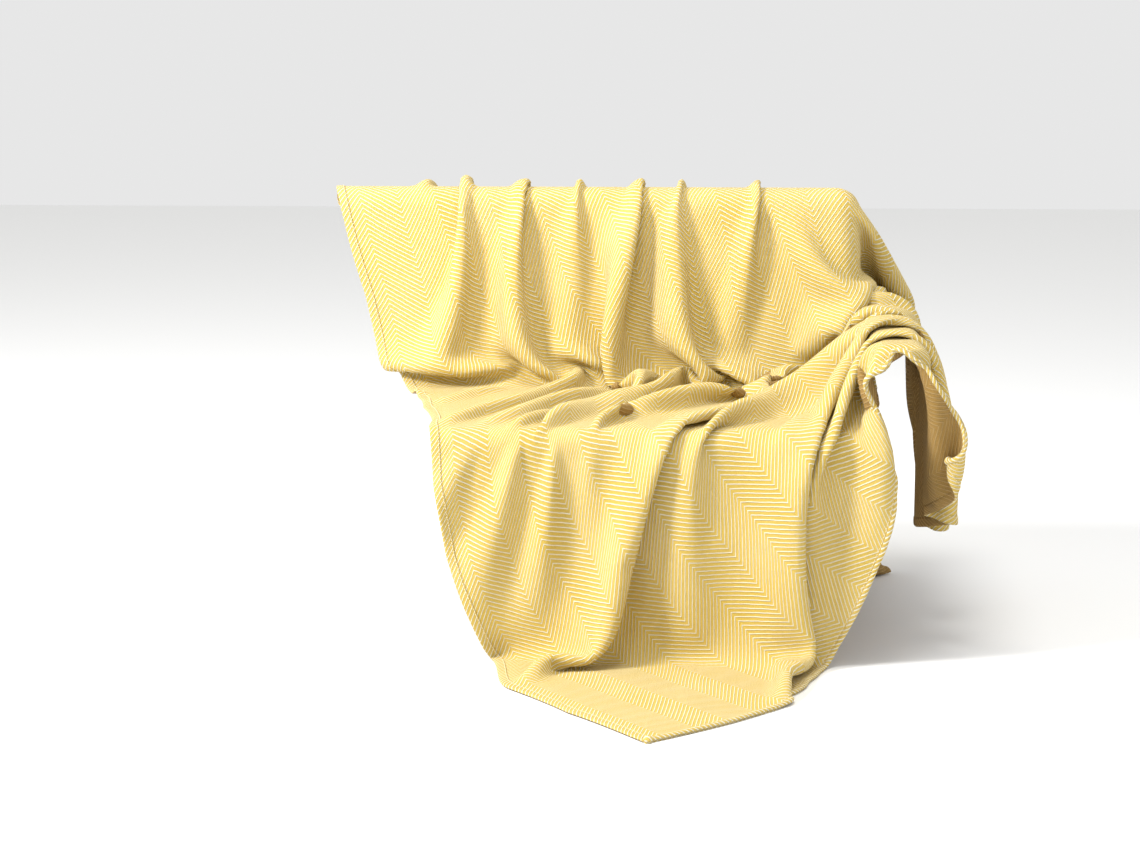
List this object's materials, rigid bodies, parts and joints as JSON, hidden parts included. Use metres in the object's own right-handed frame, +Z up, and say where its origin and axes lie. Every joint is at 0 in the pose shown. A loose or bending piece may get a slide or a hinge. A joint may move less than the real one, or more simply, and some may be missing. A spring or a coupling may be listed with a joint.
{
  "type": "draped throw blanket",
  "caption": "Woven cotton throw with a chevron weave, folded side hems and rolled end hems, lying over a seat, backrest and arm with one corner on the floor",
  "frame": {"origin": "underside of the cloth on the seat, at the middle of the seat's depth and of the furniture's width", "axes": "+X to the right as seen from the front, +Y to the back, +Z up"},
  "size_m": [1.3622, 1.5026, 0.9503],
  "materials": {
    "weave": "chevron of pale cords on mustard yellow cotton, matt",
    "side_hem": "same cotton folded double, matt",
    "end_hem": "same cotton rolled into a cord, diagonal stripes, matt",
    "thread": "matt sewing thread"
  },
  "bodies": {
    "root": {"woven_panel": "weave", "side_hem_left": "side_hem", "side_hem_right": "side_hem", "end_hem_front": "end_hem", "end_hem_rear": "end_hem", "hem_thread_left": "thread", "hem_thread_right": "thread", "hem_thread_front": "thread", "hem_thread_rear": "thread"}
  },
  "joints": []
}
